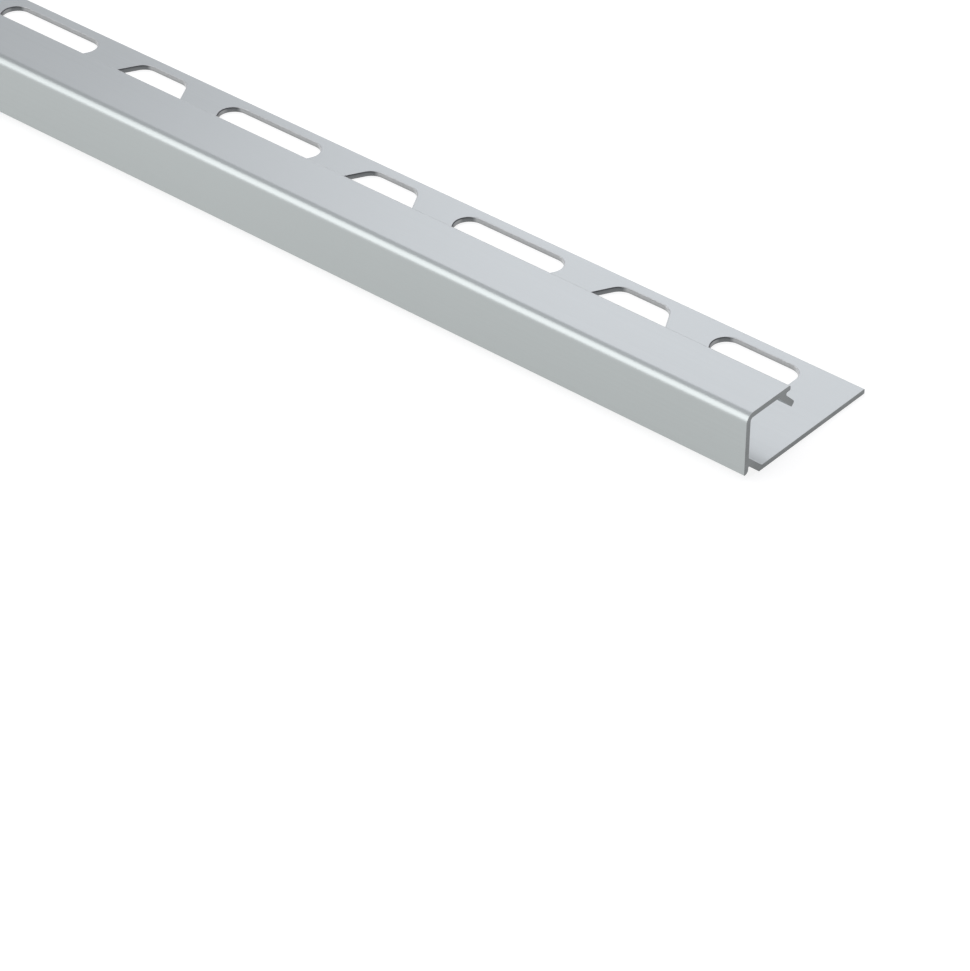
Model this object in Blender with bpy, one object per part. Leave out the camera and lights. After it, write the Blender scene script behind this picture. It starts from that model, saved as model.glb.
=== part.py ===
# Square-edge trim for a tiled edge: one extruded aluminium section with a punched anchoring leg.
# The section lies in the YZ plane and runs along X. Y goes from the face to the leg's free edge.
# The origin is the middle of the leg's underside. All sizes are in metres.

import math

import bmesh
import bpy

# The stock
STOCK_LENGTH = 2.5
SECTION_HEIGHT = 0.011  # leg underside to the top of the arm
SECTION_DEPTH = 0.0275  # face to the leg's free edge

# Walls
FACE_WALL = 0.00087
ARM_WALL = 0.00085
LEG_WALL = 0.0008
STRUT_WALL = 0.00095
FOOT_WALL = 0.0009

# The hooked edge
ARM_DEPTH = 0.00965  # face to the arm's tip
LIP_LIFT = 0.0011  # the lip ends this far above the leg's underside
STRUT_HEEL = 0.0034  # face to the line where the strut's underside meets the leg's underside
STRUT_ANGLE = math.radians(42.5)
TIP_OVERHANG = 0.0013  # the arm's tip stands this far past the spacer foot
FOOT_ANGLE = math.radians(45)
FOOT_LENGTH = 0.0034  # along its outer side, from the arm's underside

# Radii of the section
CORNER_RADIUS = 0.0014  # the visible edge
TIP_RADIUS = 0.00035
INNER_RADIUS = 0.00055
LIP_RADIUS = 0.0006
FOOT_RADIUS = 0.00034
NOTCH_RADIUS = 0.00028
EDGE_RADIUS = 0.00015

# Punched slots: trapezoids that turn over from one to the next, so the webs between them lean
SLOT_STEP = 0.0241  # from one slot's middle to the next one's
SLOT_MARGIN = 0.0019  # between a slot and the leg's free edge
SLOT_DEPTH = 0.0133
SLOT_LEAN = math.radians(28.5)  # each side's angle from square
SLOT_RADIUS = 0.0025
WEB = 0.007  # metal between two slots, square to their sides
END_MARGIN = 0.0088  # unpunched leg beside a cut end
PUNCH_CLEARANCE = 0.001  # the punch runs this far past both sides of the leg

# Facets: the most that one turns round an arc, and the turn past which an edge is drawn crisp
ARC_STEP = math.radians(24)
CRISP_TURN = math.radians(32)


def crossing(start, angle, other, other_angle):
    """The point where two lines, each through a point at an angle, meet."""
    ax, ay = math.cos(angle), math.sin(angle)
    bx, by = math.cos(other_angle), math.sin(other_angle)
    along = ((other[0] - start[0]) * by - (other[1] - start[1]) * bx) / (ax * by - ay * bx)
    return start[0] + along * ax, start[1] + along * ay


def rounded(corners):
    """A closed outline from (x, y, radius) corners. An arc is kept inside half of each side."""
    outline = []
    for index, (x, y, radius) in enumerate(corners):
        before = corners[index - 1]
        after = corners[(index + 1) % len(corners)]
        back = math.hypot(before[0] - x, before[1] - y)
        ahead = math.hypot(after[0] - x, after[1] - y)
        ux, uy = (before[0] - x) / back, (before[1] - y) / back
        vx, vy = (after[0] - x) / ahead, (after[1] - y) / ahead
        opening = math.acos(max(-1.0, min(1.0, ux * vx + uy * vy)))
        reach = min(radius / math.tan(opening / 2), 0.48 * back, 0.48 * ahead)
        if reach < 1e-6:
            outline.append((x, y))
            continue
        turn = math.pi - opening
        size = reach * math.tan(opening / 2)
        inward = math.hypot(ux + vx, uy + vy)
        to_centre = size / math.sin(opening / 2)
        cx = x + (ux + vx) / inward * to_centre
        cy = y + (uy + vy) / inward * to_centre
        first = math.atan2(y + uy * reach - cy, x + ux * reach - cx)
        side = 1 if ux * vy - uy * vx < 0 else -1
        facets = max(2, math.ceil(turn / ARC_STEP))
        for step in range(facets + 1):
            angle = first + side * turn * step / facets
            outline.append((cx + size * math.cos(angle), cy + size * math.sin(angle)))
    return outline


def section_outline():
    """The section as (y, z), from the lip round over the arm and back along the leg."""
    under_arm = SECTION_HEIGHT - ARM_WALL
    notch = (ARM_DEPTH - TIP_OVERHANG, under_arm)
    foot_tip = (
        notch[0] + FOOT_LENGTH * math.cos(FOOT_ANGLE),
        notch[1] - FOOT_LENGTH * math.sin(FOOT_ANGLE),
    )
    foot_toe = (
        foot_tip[0] - FOOT_WALL * math.sin(FOOT_ANGLE),
        foot_tip[1] - FOOT_WALL * math.cos(FOOT_ANGLE),
    )
    foot_root = (notch[0] - FOOT_WALL / math.sin(FOOT_ANGLE), under_arm)
    heel = (STRUT_HEEL, 0.0)
    strut_side = math.pi - STRUT_ANGLE
    strut_top = (
        heel[0] + STRUT_WALL * math.sin(STRUT_ANGLE),
        heel[1] + STRUT_WALL * math.cos(STRUT_ANGLE),
    )
    strut_on_leg = crossing(strut_top, strut_side, (0.0, LEG_WALL), 0.0)
    strut_on_face = crossing(strut_top, strut_side, (FACE_WALL, 0.0), math.pi / 2)
    lip_on_strut = crossing(heel, strut_side, (FACE_WALL, 0.0), math.pi / 2)
    return rounded(
        [
            (0.0, LIP_LIFT, EDGE_RADIUS),
            (FACE_WALL, LIP_LIFT, LIP_RADIUS),
            (*lip_on_strut, EDGE_RADIUS),
            (*heel, EDGE_RADIUS),
            (SECTION_DEPTH, 0.0, EDGE_RADIUS),
            (SECTION_DEPTH, LEG_WALL, EDGE_RADIUS),
            (*strut_on_leg, INNER_RADIUS),
            (*strut_on_face, EDGE_RADIUS),
            (FACE_WALL, under_arm, INNER_RADIUS),
            (*foot_root, EDGE_RADIUS),
            (*foot_toe, EDGE_RADIUS),
            (*foot_tip, FOOT_RADIUS),
            (*notch, NOTCH_RADIUS),
            (ARM_DEPTH, under_arm, EDGE_RADIUS),
            (ARM_DEPTH, SECTION_HEIGHT, TIP_RADIUS),
            (0.0, SECTION_HEIGHT, CORNER_RADIUS),
        ]
    )


def slot_halves():
    """Half the long side and half the short side of a slot."""
    shared = SLOT_STEP - WEB / math.cos(SLOT_LEAN)
    spread = SLOT_DEPTH * math.tan(SLOT_LEAN)
    return (shared + spread) / 2, (shared - spread) / 2


def slot_outline(middle, wide_outside, square_end):
    """One slot as (x, y). A square end keeps the side beside the cut straight across."""
    long_half, short_half = slot_halves()
    outer = SECTION_DEPTH - SLOT_MARGIN
    inner = outer - SLOT_DEPTH
    outer_half = long_half if wide_outside else short_half
    inner_half = short_half if wide_outside else long_half
    near_outer = short_half if square_end else outer_half
    return rounded(
        [
            (middle - outer_half, outer, SLOT_RADIUS),
            (middle - inner_half, inner, SLOT_RADIUS),
            (middle + inner_half, inner, SLOT_RADIUS),
            (middle + near_outer, outer, SLOT_RADIUS),
        ]
    )


def extruded(outline, place, along):
    """Adds the solid swept from an outline along a vector to a new mesh."""
    shape = bmesh.new()
    face = shape.faces.new([shape.verts.new(place(a, b)) for a, b in outline])
    swept = bmesh.ops.extrude_face_region(shape, geom=[face])
    moved = [item for item in swept["geom"] if isinstance(item, bmesh.types.BMVert)]
    bmesh.ops.translate(shape, verts=moved, vec=along)
    bmesh.ops.recalc_face_normals(shape, faces=shape.faces)
    return shape


def mesh_object(name, shapes, material):
    """One object from one or more closed shapes, smooth over its arcs."""
    mesh = bpy.data.meshes.new(name)
    joined = bmesh.new()
    for shape in shapes:
        shape.to_mesh(mesh)
        joined.from_mesh(mesh)
        shape.free()
    joined.to_mesh(mesh)
    joined.free()
    mesh.shade_smooth()
    mesh.set_sharp_from_angle(angle=CRISP_TURN)
    mesh.materials.append(material)
    made = bpy.data.objects.new(name, mesh)
    bpy.context.scene.collection.objects.link(made)
    return made


def anodised_aluminium():
    """Satin natural anodising."""
    material = bpy.data.materials.new("anodised_aluminium")
    material.use_nodes = True
    surface = material.node_tree.nodes["Principled BSDF"]
    surface.inputs["Base Color"].default_value = (0.46, 0.485, 0.485, 1)
    surface.inputs["Metallic"].default_value = 1.0
    surface.inputs["Roughness"].default_value = 0.42
    return material


def slot_middles():
    """Middles of the slots along X, counted from the cut end at +X."""
    long_half, short_half = slot_halves()
    first = END_MARGIN + short_half
    spare = STOCK_LENGTH - first - long_half - END_MARGIN
    count = math.floor(spare / SLOT_STEP) + 1
    return [STOCK_LENGTH / 2 - first - SLOT_STEP * index for index in range(count)]


def build():
    for old in list(bpy.data.objects):
        bpy.data.objects.remove(old, do_unlink=True)
    material = anodised_aluminium()
    half_depth = SECTION_DEPTH / 2
    half_length = STOCK_LENGTH / 2

    bar = extruded(
        section_outline(),
        lambda y, z: (-half_length, y - half_depth, z),
        (STOCK_LENGTH, 0, 0),
    )
    profile = mesh_object("trim_profile", [bar], material)

    punches = []
    for index, middle in enumerate(slot_middles()):
        punches.append(
            extruded(
                slot_outline(middle, index % 2 == 0, index == 0),
                lambda x, y: (x, y - half_depth, -PUNCH_CLEARANCE),
                (0, 0, LEG_WALL + 2 * PUNCH_CLEARANCE),
            )
        )
    punch = mesh_object("slot_punch", punches, material)
    punch.hide_render = True
    punch.display_type = "WIRE"

    cut = profile.modifiers.new("punched_slots", "BOOLEAN")
    cut.operation = "DIFFERENCE"
    cut.solver = "EXACT"
    cut.object = punch


build()
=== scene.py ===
import math

import bpy
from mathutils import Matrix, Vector


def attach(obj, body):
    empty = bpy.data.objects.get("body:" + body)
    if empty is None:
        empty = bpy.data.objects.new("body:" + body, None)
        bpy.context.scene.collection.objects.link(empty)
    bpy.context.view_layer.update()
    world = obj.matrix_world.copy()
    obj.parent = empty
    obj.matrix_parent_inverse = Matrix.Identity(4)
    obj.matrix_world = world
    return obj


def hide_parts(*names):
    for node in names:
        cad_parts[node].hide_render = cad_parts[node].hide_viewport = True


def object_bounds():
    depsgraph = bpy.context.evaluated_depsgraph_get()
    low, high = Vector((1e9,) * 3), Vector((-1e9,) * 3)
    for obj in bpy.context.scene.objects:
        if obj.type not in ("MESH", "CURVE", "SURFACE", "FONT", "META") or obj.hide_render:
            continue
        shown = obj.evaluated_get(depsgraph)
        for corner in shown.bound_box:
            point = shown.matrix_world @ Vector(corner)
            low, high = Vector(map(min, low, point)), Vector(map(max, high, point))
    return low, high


# Tile edge trim: one bar of anodised aluminium with a hooked edge and a slotted leg.
# X runs along the bar, Y from the face to the leg's free edge, Z up. All in metres.

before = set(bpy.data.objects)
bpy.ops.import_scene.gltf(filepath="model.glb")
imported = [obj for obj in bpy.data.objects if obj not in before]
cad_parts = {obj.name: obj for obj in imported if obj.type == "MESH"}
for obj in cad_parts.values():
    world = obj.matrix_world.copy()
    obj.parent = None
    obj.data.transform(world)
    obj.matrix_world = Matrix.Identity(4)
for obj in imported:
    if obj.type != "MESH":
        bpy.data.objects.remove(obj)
cadLow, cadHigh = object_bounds()
print("frame loaded, box", [round(v, 4) for v in (*cadLow, *cadHigh)])


# Node helpers: place is (column, row) in the editor

columnWidth = 190


def addNode(tree, kind, place=(0, 0), values=None, **settings):
    node = tree.nodes.new(kind)
    node.location = (place[0] * columnWidth, -place[1] * columnWidth)
    for name, value in settings.items():
        setattr(node, name, value)
    for name, value in (values or {}).items():
        node.inputs[name].default_value = value
    return node


def wire(tree, source, target, output=0, socket=0):
    tree.links.new(source.outputs[output], target.inputs[socket])


def feed(tree, socket, value):
    # another node's output is wired in, a plain value is set
    if isinstance(value, bpy.types.NodeSocket):
        tree.links.new(value, socket)
    else:
        socket.default_value = value


def addMath(tree, operation, first, second=0.0, place=(0, 0)):
    node = addNode(tree, "ShaderNodeMath", place, operation=operation)
    feed(tree, node.inputs[0], first)
    feed(tree, node.inputs[1], second)
    return node.outputs[0]


def newTree(name, kind, inputs, outputs):
    tree = bpy.data.node_groups.new(name, kind)
    for label, socketType, *value in inputs:
        socket = tree.interface.new_socket(label, in_out="INPUT", socket_type=socketType)
        if value:
            socket.default_value = value[0]
    for label, socketType in outputs:
        tree.interface.new_socket(label, in_out="OUTPUT", socket_type=socketType)
    return tree, addNode(tree, "NodeGroupInput", (-2, 0)), addNode(tree, "NodeGroupOutput", (16, 0))


def addObject(name, data):
    made = bpy.data.objects.new(name, data)
    bpy.context.scene.collection.objects.link(made)
    return made


# Shared surface effects

def makeStrokeGrain():
    # fine parallel strokes: the vector is squeezed across the strokes and stretched along them
    tree, given, result = newTree(
        "strokeGrain",
        "ShaderNodeTree",
        [
            ("Vector", "NodeSocketVector"),
            ("Strokes", "NodeSocketVector", (8.0, 4000.0, 4000.0)),
            ("Contrast", "NodeSocketFloat", 1.0),
        ],
        [("Mask", "NodeSocketFloat")],
    )
    scaled = addNode(tree, "ShaderNodeVectorMath", (0, 0), operation="MULTIPLY")
    wire(tree, given, scaled, "Vector", 0)
    wire(tree, given, scaled, "Strokes", 1)
    noise = addNode(tree, "ShaderNodeTexNoise", (1, 0), {"Scale": 1.0, "Detail": 4.0, "Roughness": 0.6})
    wire(tree, scaled, noise, 0, "Vector")
    centred = addMath(tree, "SUBTRACT", noise.outputs["Fac"], 0.5, (2, 0))
    strong = addMath(tree, "MULTIPLY", centred, given.outputs["Contrast"], (3, 0))
    shifted = addNode(tree, "ShaderNodeMath", (4, 0), operation="ADD", use_clamp=True)
    feed(tree, shifted.inputs[0], strong)
    feed(tree, shifted.inputs[1], 0.5)
    wire(tree, shifted, result, 0, "Mask")
    return tree


def makeSoftClouding():
    # slow, faint unevenness of the surface
    tree, given, result = newTree(
        "softClouding",
        "ShaderNodeTree",
        [
            ("Vector", "NodeSocketVector"),
            ("Size", "NodeSocketFloat", 0.03),
            ("Low", "NodeSocketFloat", 0.0),
            ("High", "NodeSocketFloat", 1.0),
        ],
        [("Value", "NodeSocketFloat")],
    )
    perMetre = addMath(tree, "DIVIDE", 1.0, given.outputs["Size"], (0, 1))
    noise = addNode(tree, "ShaderNodeTexNoise", (1, 0), {"Detail": 2.0, "Roughness": 0.45})
    wire(tree, given, noise, "Vector", "Vector")
    feed(tree, noise.inputs["Scale"], perMetre)
    spread = addNode(tree, "ShaderNodeMapRange", (2, 0), {"From Min": 0.3, "From Max": 0.7})
    wire(tree, noise, spread, "Fac", "Value")
    wire(tree, given, spread, "Low", "To Min")
    wire(tree, given, spread, "High", "To Max")
    wire(tree, spread, result, 0, "Value")
    return tree


strokeGrain = makeStrokeGrain()
softClouding = makeSoftClouding()
print("surface groups ready")


# Finishes: grain is the strokes' contrast, darker is how dark they get, depth is in metres

anodisedLook = {
    "colour": (0.435, 0.463, 0.461),
    "darker": 0.93,
    "metallic": 1.0,
    "roughness": 0.34,
    "roughSpread": 0.025,
    "strokes": (6.0, 5000.0, 5000.0),  # die lines run the whole length
    "grain": 1.2,
    "cloudSize": 0.06,
    "bump": 0.12,
    "depth": 0.00001,
}
# the end faces' colour is the bare saw-cut metal, darkened further as painted shade
sawnShadedLook = {
    "colour": (0.245, 0.258, 0.26),
    "darker": 0.72,
    "metallic": 1.0,
    "roughness": 0.5,
    "roughSpread": 0.06,
    "strokes": (300.0, 700.0, 9000.0),  # saw strokes across the section
    "grain": 1.8,
    "cloudSize": 0.004,
    "bump": 0.35,
    "depth": 0.00002,
}
punchedShadedLook = {
    "colour": (0.52, 0.53, 0.535),  # walls along the bar, upper part
    "darker": 0.9,
    "metallic": 1.0,
    "roughness": 0.42,
    "roughSpread": 0.08,
    "strokes": (4500.0, 4500.0, 500.0),  # shear marks down the wall of each slot
    "grain": 1.6,
    "cloudSize": 0.003,
    "bump": 0.3,
    "depth": 0.00002,
    "lowerShade": 0.63,  # painted shade: the wall's colour gets darker towards its lower part
    "darkReflectionUpper": (0.12, 0.125, 0.13),  # painted dark reflection on the wall that faces the cut end, darker in its upper part
    "darkReflectionLower": (0.20, 0.21, 0.215),
    "darkReflection": ((0.25, 0.0), (0.5, 1.0), (0.9, 0.95), (1.0, 0.35)),  # how far it faces that end, how much of the painted dark reflection
    "awayHighlight": 1.2,  # painted highlight on the wall that faces the other way
    "away": (-0.15, -0.6),  # the normal's X where that starts and where it is full
    "rimHighlight": 1.6,  # painted highlight, brighter still, on the rolled edge above that wall
    "rimAway": (-0.05, -0.3),  # the same for that edge
    "rimRise": (0.1, 0.5),  # the normal's Z where the wall starts to count as edge, and fully does
}


def addGroup(tree, group, vector, values, place):
    node = addNode(tree, "ShaderNodeGroup", place, node_tree=group)
    feed(tree, node.inputs["Vector"], vector)
    for name, value in values.items():
        feed(tree, node.inputs[name], value)
    return node


def addBlend(tree, factor, first, second, place, **settings):
    node = addNode(tree, "ShaderNodeMix", place, **settings)
    feed(tree, node.inputs["Factor"], factor)
    feed(tree, node.inputs["A"], first)
    feed(tree, node.inputs["B"], second)
    return node.outputs["Result"]


def addRise(tree, value, reach, place):
    # 0 to 1 as the value goes from the first end of its reach to the second
    node = addNode(tree, "ShaderNodeMapRange", place, {"From Min": reach[0], "From Max": reach[1]})
    feed(tree, node.inputs["Value"], value)
    return node.outputs["Result"]


def makeMetal(name, look):
    material = bpy.data.materials.new(name)
    material.use_nodes = True
    tree = material.node_tree
    surface = tree.nodes["Principled BSDF"]
    surface.location = (7 * columnWidth, 0)
    tree.nodes["Material Output"].location = (9 * columnWidth, 0)
    surface.inputs["Metallic"].default_value = look["metallic"]

    spot = addNode(tree, "ShaderNodeTexCoord", (-2, 0)).outputs["Object"]
    strokes = {"Strokes": look["strokes"], "Contrast": look["grain"]}
    grain = addGroup(tree, strokeGrain, spot, strokes, (0, 0))
    cloud = addGroup(tree, softClouding, spot, {"Size": look["cloudSize"]}, (0, 1))
    uneven = addMath(tree, "MULTIPLY", grain.outputs["Mask"], cloud.outputs["Value"], (1, 0))
    pale = (*look["colour"], 1)
    dark = (*[v * look["darker"] for v in look["colour"]], 1)
    tint = addBlend(tree, uneven, pale, dark, (2, 0), data_type="RGBA")
    tree.links.new(tint, surface.inputs["Base Color"])

    rough = addNode(tree, "ShaderNodeMapRange", (2, 1), {
        "To Min": look["roughness"] - look["roughSpread"],
        "To Max": look["roughness"] + look["roughSpread"],
    })
    wire(tree, grain, rough, "Mask", "Value")
    wire(tree, rough, surface, "Result", "Roughness")
    bump = addNode(tree, "ShaderNodeBump", (2, 2), {"Strength": look["bump"], "Distance": look["depth"]})
    wire(tree, grain, bump, "Mask", "Height")
    wire(tree, bump, surface, "Normal", "Normal")
    return material


def shadePunchedWalls(material, look, legWall):
    # painted shade darker towards the lower edge, a painted dark reflection where the wall faces the cut
    # end, a painted highlight where it faces away
    tree = material.node_tree
    surface = tree.nodes["Principled BSDF"]
    plain = surface.inputs["Base Color"].links[0].from_socket
    coords = addNode(tree, "ShaderNodeTexCoord", (-2, 4))
    facing = addNode(tree, "ShaderNodeSeparateXYZ", (-1, 4))
    wire(tree, coords, facing, "Normal")
    height = addNode(tree, "ShaderNodeSeparateXYZ", (-1, 5))
    wire(tree, coords, height, "Object")
    upper = addRise(tree, height.outputs["Z"], (0.0, legWall), (0, 5))

    # the walls along the bar with painted shade towards the lower edge, and a painted highlight on those
    # that face away and on their rolled edge
    shade = addNode(tree, "ShaderNodeMapRange", (1, 5), {"To Min": look["lowerShade"]})
    feed(tree, shade.inputs["Value"], upper)
    away = addRise(tree, facing.outputs["X"], look["away"], (1, 6))
    bright = addBlend(tree, away, shade.outputs["Result"], look["awayHighlight"], (2, 5))
    rimAway = addRise(tree, facing.outputs["X"], look["rimAway"], (1, 7))
    rimRise = addRise(tree, facing.outputs["Z"], look["rimRise"], (1, 8))
    rim = addMath(tree, "MULTIPLY", rimAway, rimRise, (2, 7))
    highlighted = addBlend(tree, rim, bright, look["rimHighlight"], (3, 6))
    alongShaded = addBlend(tree, 1.0, plain, highlighted, (4, 4), data_type="RGBA", blend_type="MULTIPLY")

    # the walls that face the cut end, with a painted dark reflection
    lower, top = (*look["darkReflectionLower"], 1), (*look["darkReflectionUpper"], 1)
    darkReflectionTone = addBlend(tree, upper, lower, top, (3, 5), data_type="RGBA")
    darkReflection = addNode(tree, "ShaderNodeValToRGB", (1, 4))
    stops = darkReflection.color_ramp.elements
    while len(stops) < len(look["darkReflection"]):
        stops.new(0.5)
    for stop, (position, amount) in zip(stops, look["darkReflection"]):
        stop.position = position
        stop.color = (amount, amount, amount, 1)
    wire(tree, facing, darkReflection, "X", "Fac")
    wall = addBlend(tree, darkReflection.outputs["Color"], alongShaded, darkReflectionTone, (5, 4), data_type="RGBA")
    tree.links.new(wall, surface.inputs["Base Color"])


# The bar

bar = {
    "length": 2.5,
    "height": 0.011,
    "depth": 0.0275,
    "faceWall": 0.00087,
    "armWall": 0.00085,
    "legWall": 0.0008,
    "strutWall": 0.00095,
    "footWall": 0.0009,
    "armDepth": 0.00965,  # from the face to the arm's tip
    "lipLift": 0.0011,  # the lip ends this far above the leg's underside
    "strutHeel": 0.0034,  # from the face to where the strut meets the leg's underside
    "strutAngle": math.radians(42.5),
    "tipOverhang": 0.0013,  # the arm's tip stands this far past the spacer foot
    "footAngle": math.radians(45),
    "footLength": 0.0034,
    "cornerRadius": 0.0014,  # the visible edge
    "tipRadius": 0.00035,
    "innerRadius": 0.00055,
    "lipRadius": 0.0006,
    "footRadius": 0.00034,
    "notchRadius": 0.00028,
    "edgeRadius": 0.00015,
    "arcFacets": 12,
    "crispAngle": math.radians(32),  # a sharper turn is drawn as an edge
}
slots = {
    "step": 0.0241,  # from one slot's middle to the next one's
    "margin": 0.0019,  # between a slot and the leg's free edge
    "depth": 0.0133,
    "lean": math.radians(28.5),  # each side's angle from square
    "radius": 0.0025,
    "web": 0.007,  # metal between two slots, square to their sides
    "endMargin": 0.0088,  # unpunched leg beside a cut end
    "facets": 10,
    "overrun": 0.001,  # the punch runs this far past both sides of the leg
    "edgeRoll": 0.00018,  # about how wide the leg's top edge is drawn down round a slot
}
rollShape = {
    # shares of edgeRoll
    "turn": 0.35,  # the wall turns outwards this far below the leg's top
    "out": 3.0,  # the slope after it ends this far out
    "up": 0.9,  # and this far above the leg's top
    "radius": 1.2,
    "facets": 4,
}
bareFaces = {
    "flat": 0.98,  # a face whose normal has this much Z is flat, and no slot's wall
    "endOn": 0.99,  # a face whose normal has this much X is square to the bar
    "slotReach": 0.52,  # share of the slots' depth, either way from their middle
    "endReach": 0.4999,  # share of the length, either way from the bar's middle
}
weldDistance = 0.000001

anodised = makeMetal("anodisedAluminium", anodisedLook)
sawnShaded = makeMetal("sawnEndShaded", sawnShadedLook)
punchedShaded = makeMetal("punchedEdgeShaded", punchedShadedLook)
shadePunchedWalls(punchedShaded, punchedShadedLook, bar["legWall"])
print("materials ready")


def crossing(start, angle, other, otherAngle):
    # where two lines meet, each through a point at an angle
    ax, ay = math.cos(angle), math.sin(angle)
    bx, by = math.cos(otherAngle), math.sin(otherAngle)
    along = ((other[0] - start[0]) * by - (other[1] - start[1]) * bx) / (ax * by - ay * bx)
    return start[0] + along * ax, start[1] + along * ay


def sectionCorners():
    # (y, z, radius) round the section, starting at the lip
    b = bar
    underArm = b["height"] - b["armWall"]
    notch = (b["armDepth"] - b["tipOverhang"], underArm)
    tip = (
        notch[0] + b["footLength"] * math.cos(b["footAngle"]),
        notch[1] - b["footLength"] * math.sin(b["footAngle"]),
    )
    toe = (
        tip[0] - b["footWall"] * math.sin(b["footAngle"]),
        tip[1] - b["footWall"] * math.cos(b["footAngle"]),
    )
    root = (notch[0] - b["footWall"] / math.sin(b["footAngle"]), underArm)
    heel = (b["strutHeel"], 0.0)
    lean = math.pi - b["strutAngle"]
    strutTop = (
        heel[0] + b["strutWall"] * math.sin(b["strutAngle"]),
        heel[1] + b["strutWall"] * math.cos(b["strutAngle"]),
    )
    onLeg = crossing(strutTop, lean, (0.0, b["legWall"]), 0.0)
    onFace = crossing(strutTop, lean, (b["faceWall"], 0.0), math.pi / 2)
    lipTop = crossing(heel, lean, (b["faceWall"], 0.0), math.pi / 2)
    edge = b["edgeRadius"]
    return [
        (0.0, b["lipLift"], edge),
        (b["faceWall"], b["lipLift"], b["lipRadius"]),
        (*lipTop, edge),
        (*heel, edge),
        (b["depth"], 0.0, edge),
        (b["depth"], b["legWall"], edge),
        (*onLeg, b["innerRadius"]),
        (*onFace, edge),
        (b["faceWall"], underArm, b["innerRadius"]),
        (*root, edge),
        (*toe, edge),
        (*tip, b["footRadius"]),
        (*notch, b["notchRadius"]),
        (b["armDepth"], underArm, edge),
        (b["armDepth"], b["height"], b["tipRadius"]),
        (0.0, b["height"], b["cornerRadius"]),
    ]


def makeSectionOutline():
    # a flat closed line with a radius kept on each corner
    corners = sectionCorners()
    mesh = bpy.data.meshes.new("trimBar")
    points = [(y - bar["depth"] / 2, z, 0.0) for y, z, radius in corners]
    count = len(points)
    mesh.from_pydata(points, [(i, (i + 1) % count) for i in range(count)], [])
    radii = mesh.attributes.new("cornerRadius", "FLOAT", "POINT")
    for item, corner in zip(radii.data, corners):
        item.value = corner[2]
    return addObject("trimBar", mesh)


def addWelded(tree, parts, place):
    # the parts joined in this order, and closed where their points meet
    joined = addNode(tree, "GeometryNodeJoinGeometry", place)
    for part in parts:
        wire(tree, part, joined)
    beside = (place[0] + 1, place[1])
    closed = addNode(tree, "GeometryNodeMergeByDistance", beside, {"Distance": weldDistance})
    wire(tree, joined, closed)
    return closed


def addMoved(tree, shape, offset, place):
    # offset holds the axes that it moves along
    way = addNode(tree, "ShaderNodeCombineXYZ", (place[0] - 1, place[1] + 1))
    for axis, distance in offset.items():
        feed(tree, way.inputs[axis], distance)
    moved = addNode(tree, "GeometryNodeTransform", place)
    wire(tree, shape, moved)
    wire(tree, way, moved, 0, "Translation")
    return moved


def makeSweptSolid():
    # fills a flat curve with rounded corners and raises it into a closed solid
    tree, given, result = newTree(
        "sweptSolid",
        "GeometryNodeTree",
        [
            ("Curve", "NodeSocketGeometry"),
            ("Radius", "NodeSocketFloat"),
            ("Facets", "NodeSocketInt", 8),
            ("Length", "NodeSocketFloat", 1.0),
        ],
        [("Solid", "NodeSocketGeometry")],
    )
    fillet = addNode(tree, "GeometryNodeFilletCurve", (0, 0), {"Limit Radius": True}, mode="POLY")
    wire(tree, given, fillet, "Curve", "Curve")
    wire(tree, given, fillet, "Radius", "Radius")
    wire(tree, given, fillet, "Facets", "Count")
    flat = addNode(tree, "GeometryNodeFillCurve", (1, 0), mode="NGONS")
    wire(tree, fillet, flat)
    upwards = {"Offset": (0, 0, 1), "Individual": False}
    raised = addNode(tree, "GeometryNodeExtrudeMesh", (2, 0), upwards)
    wire(tree, flat, raised)
    wire(tree, given, raised, "Length", "Offset Scale")
    under = addNode(tree, "GeometryNodeFlipFaces", (2, 1))
    wire(tree, flat, under)
    wire(tree, addWelded(tree, (raised, under), (3, 0)), result)
    return tree


def addCompare(tree, operation, first, second, place):
    node = addNode(tree, "FunctionNodeCompare", place, operation=operation, data_type="FLOAT")
    feed(tree, node.inputs["A"], first)
    feed(tree, node.inputs["B"], second)
    return node.outputs["Result"]


def addBoth(tree, first, second, place):
    node = addNode(tree, "FunctionNodeBooleanMath", place, operation="AND")
    feed(tree, node.inputs[0], first)
    feed(tree, node.inputs[1], second)
    return node.outputs[0]


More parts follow.
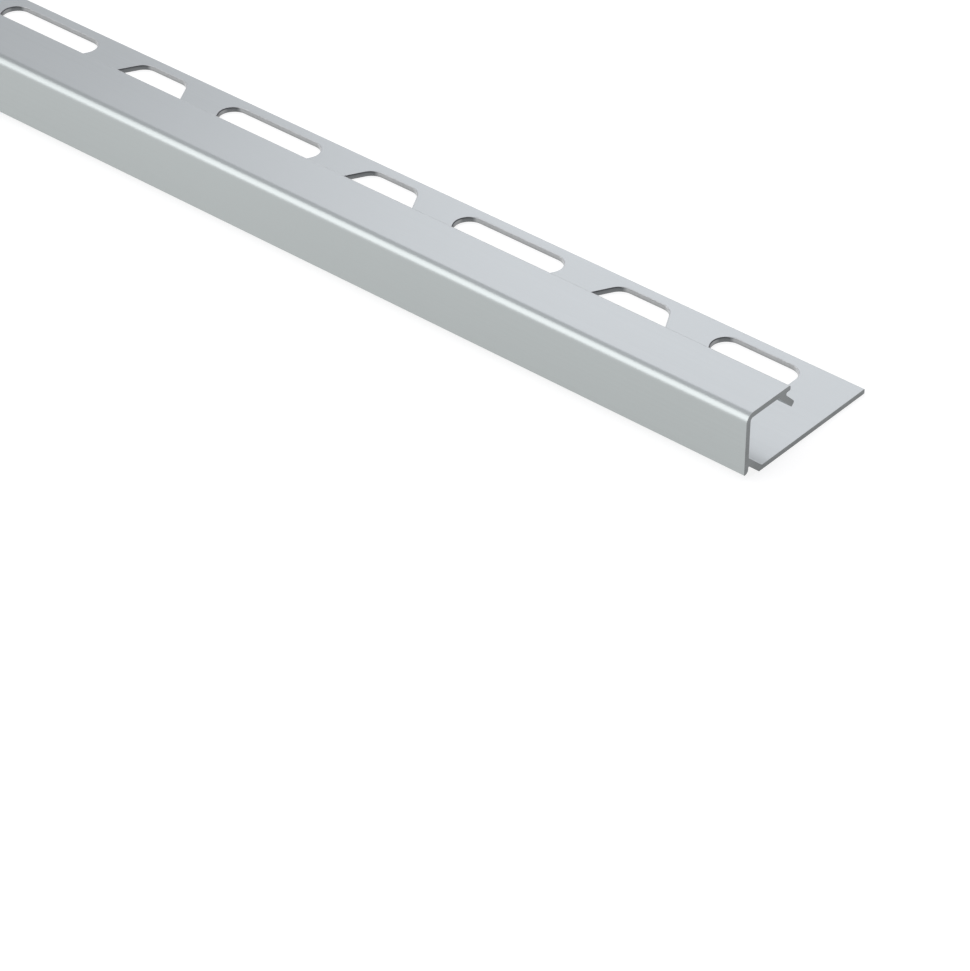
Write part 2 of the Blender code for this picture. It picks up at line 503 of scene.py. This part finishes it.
def addWallProfile(tree, out, top):
    # points as (outwards, down): below the leg, at the turn, out over the leg, clear above it
    drop = addMath(tree, "MULTIPLY", out["Edge Roll"], rollShape["turn"], (0, 4))
    turn = addMath(tree, "SUBTRACT", drop, out["Leg Wall"], (1, 4))
    flare = addMath(tree, "MULTIPLY", out["Edge Roll"], rollShape["out"], (0, 5))
    rise = addMath(tree, "MULTIPLY", out["Edge Roll"], -rollShape["up"], (0, 6))
    clear = addMath(tree, "SUBTRACT", rise, out["Leg Wall"], (1, 6))
    above = addMath(tree, "MULTIPLY", top, -1.0, (1, 3))
    points = ((0.0, out["Overrun"]), (0.0, turn), (flare, clear), (flare, above))
    choose = addNode(tree, "GeometryNodeIndexSwitch", (3, 4), data_type="VECTOR")
    while len(choose.index_switch_items) < len(points):
        choose.index_switch_items.new()
    wire(tree, addNode(tree, "GeometryNodeInputIndex", (2, 3)), choose)
    for item, (outwards, downwards) in enumerate(points):
        point = addNode(tree, "ShaderNodeCombineXYZ", (2, 4 + item))
        feed(tree, point.inputs["X"], outwards)
        feed(tree, point.inputs["Y"], downwards)
        wire(tree, point, choose, 0, 1 + item)
    line = addNode(tree, "GeometryNodeMeshLine", (3, 3), {"Count": len(points)}, mode="OFFSET")
    placed = addNode(tree, "GeometryNodeSetPosition", (4, 3))
    wire(tree, line, placed)
    wire(tree, choose, placed, 0, "Position")
    wall = addNode(tree, "GeometryNodeMeshToCurve", (5, 3))
    wire(tree, placed, wall)
    arcs = {"Limit Radius": True, "Count": rollShape["facets"]}
    rolled = addNode(tree, "GeometryNodeFilletCurve", (6, 3), arcs, mode="POLY")
    wire(tree, wall, rolled, 0, "Curve")
    radius = addMath(tree, "MULTIPLY", out["Edge Roll"], rollShape["radius"], (5, 5))
    feed(tree, rolled.inputs["Radius"], radius)
    return rolled


def addLid(tree, swept, top):
    # closes the upper rim, whose edges have one face each
    faces = addNode(tree, "GeometryNodeInputMeshEdgeNeighbors", (7, 2))
    height = addNode(tree, "ShaderNodeSeparateXYZ", (8, 3))
    wire(tree, addNode(tree, "GeometryNodeInputPosition", (7, 3)), height)
    isOpen = addCompare(tree, "LESS_THAN", faces.outputs[0], 1.5, (8, 2))
    isHigh = addCompare(tree, "GREATER_THAN", height.outputs["Z"], 0.0, (9, 3))
    upperRim = addNode(tree, "GeometryNodeMeshToCurve", (10, 1))
    wire(tree, swept, upperRim)
    feed(tree, upperRim.inputs["Selection"], addBoth(tree, isOpen, isHigh, (10, 2)))
    lid = addNode(tree, "GeometryNodeFillCurve", (11, 1), mode="NGONS")
    wire(tree, upperRim, lid)
    return addMoved(tree, lid, {"Z": top}, (12, 1))


def addBase(tree, outline, overrun):
    # closes the lower end
    base = addNode(tree, "GeometryNodeFillCurve", (10, -1), mode="NGONS")
    wire(tree, outline, base)
    turned = addNode(tree, "GeometryNodeFlipFaces", (11, -1))
    wire(tree, base, turned)
    down = addMath(tree, "MULTIPLY", overrun, -1.0, (10, 0))
    return addMoved(tree, turned, {"Z": down}, (12, -1))


def makeSlotPunch():
    # the punch's wall runs round the slot's outline and flares where the leg's top edge is drawn down
    tree, given, result = newTree(
        "slotPunch",
        "GeometryNodeTree",
        [
            ("Outline", "NodeSocketGeometry"),
            ("Corner Radius", "NodeSocketFloat", 0.0025),
            ("Facets", "NodeSocketInt", 10),
            ("Leg Wall", "NodeSocketFloat", 0.0008),
            ("Overrun", "NodeSocketFloat", 0.001),
            ("Edge Roll", "NodeSocketFloat", 0.00018),
        ],
        [("Punch", "NodeSocketGeometry")],
    )
    out = given.outputs
    outline = addNode(tree, "GeometryNodeFilletCurve", (0, 0), {"Limit Radius": True}, mode="POLY")
    wire(tree, given, outline, "Outline", "Curve")
    wire(tree, given, outline, "Corner Radius", "Radius")
    wire(tree, given, outline, "Facets", "Count")
    level = addNode(tree, "GeometryNodeSetCurveNormal", (1, 0), mode="Z_UP")
    wire(tree, outline, level)
    top = addMath(tree, "ADD", out["Leg Wall"], out["Overrun"], (0, 3))
    swept = addNode(tree, "GeometryNodeCurveToMesh", (7, 0))
    wire(tree, level, swept, 0, "Curve")
    wire(tree, addWallProfile(tree, out, top), swept, 0, "Profile Curve")
    wall = addNode(tree, "GeometryNodeFlipFaces", (8, 0))
    wire(tree, swept, wall)
    lid = addLid(tree, swept, top)
    base = addBase(tree, outline, out["Overrun"])
    wire(tree, addWelded(tree, (wall, lid, base), (13, 0)), result)
    return tree


def addPunch(tree, slotPunch, outline, sizes, place):
    node = addNode(tree, "GeometryNodeGroup", place, node_tree=slotPunch)
    wire(tree, outline, node, 0, "Outline")
    for label, size in sizes.items():
        feed(tree, node.inputs[label], size)
    return node


def addSolid(tree, given, sweptSolid):
    # the extruded section, turned so that it runs along X
    outline = addNode(tree, "GeometryNodeMeshToCurve", (0, 0))
    wire(tree, given, outline, "Section")
    kept = {"Name": "cornerRadius"}
    radius = addNode(tree, "GeometryNodeInputNamedAttribute", (0, 1), kept, data_type="FLOAT")
    solid = addNode(tree, "GeometryNodeGroup", (1, 0), node_tree=sweptSolid)
    wire(tree, outline, solid, 0, "Curve")
    wire(tree, radius, solid, 0, "Radius")
    wire(tree, given, solid, "Arc Facets", "Facets")
    wire(tree, given, solid, "Length", "Length")
    halfBack = addMath(tree, "MULTIPLY", given.outputs["Length"], -0.5, (1, 1))
    turned = addMoved(tree, solid, {"X": halfBack}, (3, 0))
    turned.inputs["Rotation"].default_value = (math.pi / 2, 0, math.pi / 2)
    return turned


def addSlotShape(tree, given, topWidth, offset, place):
    # the top side is the one that faces the leg's free edge
    shape = addNode(tree, "GeometryNodeCurvePrimitiveQuadrilateral", place, mode="TRAPEZOID")
    feed(tree, shape.inputs["Top Width"], topWidth)
    feed(tree, shape.inputs["Offset"], offset)
    wire(tree, given, shape, "Short Side", "Bottom Width")
    wire(tree, given, shape, "Slot Depth", "Height")
    return shape


def addPunchRow(tree, given, slotPunch, sizes):
    # all punches but the first, each turned half round from the one before
    out = given.outputs
    shape = addSlotShape(tree, given, out["Long Side"], 0.0, (1, 3))
    punch = addPunch(tree, slotPunch, shape, sizes, (2, 3))
    start = addNode(tree, "ShaderNodeCombineXYZ", (2, 5))
    feed(tree, start.inputs["X"], addMath(tree, "SUBTRACT", out["First Slot"], out["Slot Step"], (1, 5)))
    feed(tree, start.inputs["Y"], out["Slot Middle"])
    stride = addNode(tree, "ShaderNodeCombineXYZ", (2, 6))
    feed(tree, stride.inputs["X"], addMath(tree, "MULTIPLY", out["Slot Step"], -1.0, (1, 6)))
    row = addNode(tree, "GeometryNodeMeshLine", (3, 5), mode="OFFSET")
    feed(tree, row.inputs["Count"], addMath(tree, "SUBTRACT", out["Slot Count"], 1.0, (2, 7)))
    wire(tree, start, row, 0, "Start Location")
    wire(tree, stride, row, 0, "Offset")

    order = addNode(tree, "GeometryNodeInputIndex", (1, 8))
    following = addMath(tree, "ADD", order.outputs[0], 1.0, (2, 8))
    isTurned = addMath(tree, "MODULO", following, 2.0, (3, 8))
    halfTurn = addNode(tree, "ShaderNodeCombineXYZ", (5, 8))
    feed(tree, halfTurn.inputs["Z"], addMath(tree, "MULTIPLY", isTurned, math.pi, (4, 8)))
    rotation = addNode(tree, "FunctionNodeEulerToRotation", (6, 8))
    wire(tree, halfTurn, rotation)
    punches = addNode(tree, "GeometryNodeInstanceOnPoints", (5, 4))
    wire(tree, row, punches, 0, "Points")
    wire(tree, punch, punches, 0, "Instance")
    wire(tree, rotation, punches, 0, "Rotation")
    return punches


def addFirstPunch(tree, given, slotPunch, sizes):
    # the slot beside the cut end has one square side
    out = given.outputs
    bothSides = addMath(tree, "ADD", out["Long Side"], out["Short Side"], (1, 10))
    topWidth = addMath(tree, "MULTIPLY", bothSides, 0.5, (2, 10))
    spread = addMath(tree, "SUBTRACT", out["Short Side"], out["Long Side"], (1, 11))
    offset = addMath(tree, "MULTIPLY", spread, 0.25, (2, 11))
    shape = addSlotShape(tree, given, topWidth, offset, (4, 10))
    punch = addPunch(tree, slotPunch, shape, sizes, (5, 10))
    return addMoved(tree, punch, {"X": out["First Slot"], "Y": out["Slot Middle"]}, (6, 10))


def addCreases(tree, shape):
    # smooth round the arcs, sharp at the corners
    smooth = addNode(tree, "GeometryNodeSetShadeSmooth", (10, 0), {"Shade Smooth": True}, domain="FACE")
    wire(tree, shape, smooth)
    crisp = addNode(tree, "GeometryNodeSetShadeSmooth", (11, 0), {"Shade Smooth": False}, domain="EDGE")
    wire(tree, smooth, crisp)
    angle = addNode(tree, "GeometryNodeInputMeshEdgeAngle", (9, 2))
    isSharp = addCompare(tree, "GREATER_THAN", angle.outputs[0], bar["crispAngle"], (10, 2))
    feed(tree, crisp.inputs["Selection"], isSharp)
    return crisp


def addFinishes(tree, given, shape):
    # drawn and anodised all over, bare where the punch and the saw went through, with painted shade and
    # painted highlights on those bare faces
    out = given.outputs
    facing = addNode(tree, "ShaderNodeSeparateXYZ", (9, 4))
    wire(tree, addNode(tree, "GeometryNodeInputNormal", (8, 4)), facing)
    spot = addNode(tree, "ShaderNodeSeparateXYZ", (9, 6))
    wire(tree, addNode(tree, "GeometryNodeInputPosition", (8, 6)), spot)

    level = addMath(tree, "ABSOLUTE", facing.outputs["Z"], place=(10, 4))
    notFlat = addCompare(tree, "LESS_THAN", level, bareFaces["flat"], (11, 4))
    aside = addMath(tree, "SUBTRACT", spot.outputs["Y"], out["Slot Middle"], (10, 5))
    aside = addMath(tree, "ABSOLUTE", aside, place=(11, 5))
    slotReach = addMath(tree, "MULTIPLY", out["Slot Depth"], bareFaces["slotReach"], (10, 6))
    inSlots = addCompare(tree, "LESS_THAN", aside, slotReach, (12, 5))
    inLeg = addCompare(tree, "LESS_THAN", spot.outputs["Z"], out["Leg Wall"], (12, 6))
    slotWall = addBoth(tree, addBoth(tree, notFlat, inSlots, (12, 4)), inLeg, (13, 4))

    square = addMath(tree, "ABSOLUTE", facing.outputs["X"], place=(10, 7))
    endOn = addCompare(tree, "GREATER_THAN", square, bareFaces["endOn"], (11, 7))
    endReach = addMath(tree, "MULTIPLY", out["Length"], bareFaces["endReach"], (10, 8))
    farOut = addMath(tree, "ABSOLUTE", spot.outputs["X"], place=(10, 9))
    atEnd = addCompare(tree, "GREATER_THAN", farOut, endReach, (11, 8))
    endFace = addBoth(tree, endOn, atEnd, (12, 7))

    finishes = (("Anodised", True), ("Punched", slotWall), ("Sawn", endFace))
    for column, (label, selection) in enumerate(finishes):
        painted = addNode(tree, "GeometryNodeSetMaterial", (13 + column, 0))
        wire(tree, shape, painted)
        wire(tree, given, painted, label, "Material")
        feed(tree, painted.inputs["Selection"], selection)
        shape = painted
    return shape


def makeBarTree():
    slotPunch = makeSlotPunch()
    tree, given, result = newTree(
        "slottedBar",
        "GeometryNodeTree",
        [
            ("Section", "NodeSocketGeometry"),
            ("Length", "NodeSocketFloat", 2.5),
            ("Arc Facets", "NodeSocketInt", 12),
            ("Slot Step", "NodeSocketFloat", 0.0241),
            ("First Slot", "NodeSocketFloat", 1.2),
            ("Slot Count", "NodeSocketInt", 103),
            ("Long Side", "NodeSocketFloat", 0.023),
            ("Short Side", "NodeSocketFloat", 0.009),
            ("Slot Depth", "NodeSocketFloat", 0.0133),
            ("Slot Middle", "NodeSocketFloat", 0.005),
            ("Slot Radius", "NodeSocketFloat", 0.0025),
            ("Slot Facets", "NodeSocketInt", 10),
            ("Leg Wall", "NodeSocketFloat", 0.0008),
            ("Overrun", "NodeSocketFloat", 0.001),
            ("Edge Roll", "NodeSocketFloat", 0.00018),
            ("Anodised", "NodeSocketMaterial"),
            ("Sawn", "NodeSocketMaterial"),
            ("Punched", "NodeSocketMaterial"),
        ],
        [("Bar", "NodeSocketGeometry")],
    )
    out = given.outputs
    sizes = {
        "Corner Radius": out["Slot Radius"],
        "Facets": out["Slot Facets"],
        "Leg Wall": out["Leg Wall"],
        "Overrun": out["Overrun"],
        "Edge Roll": out["Edge Roll"],
    }
    allPunches = addNode(tree, "GeometryNodeJoinGeometry", (7, 5))
    wire(tree, addPunchRow(tree, given, slotPunch, sizes), allPunches)
    wire(tree, addFirstPunch(tree, given, slotPunch, sizes), allPunches)
    realPunches = addNode(tree, "GeometryNodeRealizeInstances", (8, 5))
    wire(tree, allPunches, realPunches)
    cut = addNode(tree, "GeometryNodeMeshBoolean", (9, 0), operation="DIFFERENCE", solver="EXACT")
    wire(tree, addSolid(tree, given, makeSweptSolid()), cut, 0, "Mesh 1")
    wire(tree, realPunches, cut, 0, "Mesh 2")
    real = addNode(tree, "GeometryNodeRealizeInstances", (15, 1))
    wire(tree, addFinishes(tree, given, addCreases(tree, cut)), real)
    wire(tree, real, result)
    return tree


def makeBar():
    # a slot's two widths follow from the web that stays between two slots
    spread = slots["depth"] * math.tan(slots["lean"])
    shared = slots["step"] - slots["web"] / math.cos(slots["lean"])
    longSide, shortSide = shared + spread, shared - spread
    firstSlot = slots["endMargin"] + shortSide / 2
    room = bar["length"] - firstSlot - longSide / 2 - slots["endMargin"]
    tree = makeBarTree()
    piece = makeSectionOutline()
    modifier = piece.modifiers.new("slottedBar", "NODES")
    modifier.node_group = tree
    values = {
        "Length": bar["length"],
        "Arc Facets": bar["arcFacets"],
        "Slot Step": slots["step"],
        "First Slot": bar["length"] / 2 - firstSlot,
        "Slot Count": math.floor(room / slots["step"]) + 1,
        "Long Side": longSide,
        "Short Side": shortSide,
        "Slot Depth": slots["depth"],
        "Slot Middle": bar["depth"] / 2 - slots["margin"] - slots["depth"] / 2,
        "Slot Radius": slots["radius"],
        "Slot Facets": slots["facets"],
        "Leg Wall": bar["legWall"],
        "Overrun": slots["overrun"],
        "Edge Roll": slots["edgeRoll"],
        "Anodised": anodised,
        "Sawn": sawnShaded,
        "Punched": punchedShaded,
    }
    for item in tree.interface.items_tree:
        if item.item_type == "SOCKET" and item.in_out == "INPUT" and item.name in values:
            modifier[item.identifier] = values[item.name]
    return piece


def settle(piece, name):
    # keeps the evaluated shape as a plain mesh, with flat faces shaded flat
    even = piece.modifiers.new("evenShading", "WEIGHTED_NORMAL")
    even.keep_sharp = True
    even.weight = 100  # the largest faces decide
    ready = piece.evaluated_get(bpy.context.evaluated_depsgraph_get())
    mesh = bpy.data.meshes.new_from_object(ready)
    mesh.name = name
    if mesh.materials[0] is None:  # the outline's own empty slot
        mesh.materials.pop(index=0)
    bpy.data.objects.remove(piece, do_unlink=True)
    return addObject(name, mesh)


trim = settle(makeBar(), "trimBar")
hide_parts("trim_profile")
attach(trim, "root")
print("bar ready,", len(trim.data.polygons), "faces,", len(trim.data.materials), "finishes")


# Floor, light and camera

studio = {
    "floorSize": 60.0,
    "floorGap": 0.00002,  # keeps the floor clear of the leg's underside
    "floorColour": (0.34, 0.34, 0.34),
    "floorGlow": 0.78,  # what the camera and the metal see beside the lamps' light
    "skyColour": (0.955, 0.96, 1.0),
    "skyStrength": 0.45,
}


def makeFloor():
    half = studio["floorSize"] / 2
    corners = [(-half, -half, 0), (half, -half, 0), (half, half, 0), (-half, half, 0)]
    mesh = bpy.data.meshes.new("floor")
    mesh.from_pydata(corners, [], [(0, 1, 2, 3)])
    floor = addObject("floor", mesh)
    floor.location.z = cadLow.z - studio["floorGap"]
    material = bpy.data.materials.new("paleFloor")
    material.use_nodes = True
    tree = material.node_tree
    tree.nodes.remove(tree.nodes["Principled BSDF"])
    matte = addNode(tree, "ShaderNodeBsdfDiffuse", (0, 0))
    matte.inputs["Color"].default_value = (*studio["floorColour"], 1)
    glow = addNode(tree, "ShaderNodeEmission", (0, 1))
    rays = addNode(tree, "ShaderNodeLightPath", (-4, 1))
    seen = addMath(tree, "MAXIMUM", rays.outputs["Is Camera Ray"], rays.outputs["Is Glossy Ray"], (-3, 1))
    seen = addMath(tree, "MAXIMUM", seen, rays.outputs["Is Transmission Ray"], (-2, 1))
    feed(tree, glow.inputs["Strength"], addMath(tree, "MULTIPLY", seen, studio["floorGlow"], (-1, 1)))
    total = addNode(tree, "ShaderNodeAddShader", (1, 0))
    wire(tree, matte, total, 0, 0)
    wire(tree, glow, total, 0, 1)
    wire(tree, total, tree.nodes["Material Output"], 0, "Surface")
    mesh.materials.append(material)


def makeSky():
    world = bpy.data.worlds.new("studioAir")
    world.use_nodes = True
    back = world.node_tree.nodes["Background"]
    back.inputs["Color"].default_value = (*studio["skyColour"], 1)
    back.inputs["Strength"].default_value = studio["skyStrength"]
    bpy.context.scene.world = world


lamps = {
    # name: place, aimed at, width, height, watts, colour
    "softboxBehind": ((0.85, 1.26, 1.0), (1.15, 0.0, 0.0), 1.54, 1.45, 7.75, (0.955, 0.935, 0.985)),
    "softboxBehindLeft": ((-0.36, 1.26, 1.0), (1.15, 0.0, 0.0), 0.86, 1.45, 1.8, (0.955, 0.935, 0.985)),
    "softboxFront": ((0.45, -1.33, 0.84), (1.15, 0.0, 0.0), 1.95, 1.8, 19.3, (1.0, 1.0, 1.0)),
    "softboxAbove": ((0.3, 0.1, 2.2), (0.3, 0.0, 0.0), 2.6, 1.8, 7.5, (0.97, 0.97, 1.0)),
}


def makeLamp(name, place, target, width, height, watts, colour):
    light = bpy.data.lights.new(name, "AREA")
    light.shape = "RECTANGLE"
    light.size = width
    light.size_y = height
    light.energy = watts
    light.color = colour
    lamp = addObject(name, light)
    lamp.location = place
    lamp.rotation_euler = (Vector(target) - Vector(place)).to_track_quat("-Z", "Y").to_euler()


shot = {
    "place": (1.49524, -0.35232, 0.30962),
    "turn": math.radians(40.706),
    "tilt": math.radians(36.661),
    "focalPixels": 3847.5,
    "imageHeight": 971,
    "sensor": 36,  # mm
    "near": 0.01,
    "far": 50,
}


def makeCamera():
    data = bpy.data.cameras.new("camera")
    data.sensor_width = shot["sensor"]
    data.lens = shot["focalPixels"] * data.sensor_width / shot["imageHeight"]
    data.clip_start = shot["near"]
    data.clip_end = shot["far"]
    camera = addObject("camera", data)
    camera.location = shot["place"]
    camera.rotation_euler = (math.pi / 2 - shot["tilt"], 0, shot["turn"])
    bpy.context.scene.camera = camera


makeFloor()
makeSky()
for name, settings in lamps.items():
    makeLamp(name, *settings)
makeCamera()
bpy.context.scene.view_settings.view_transform = "Standard"
print("stage ready")
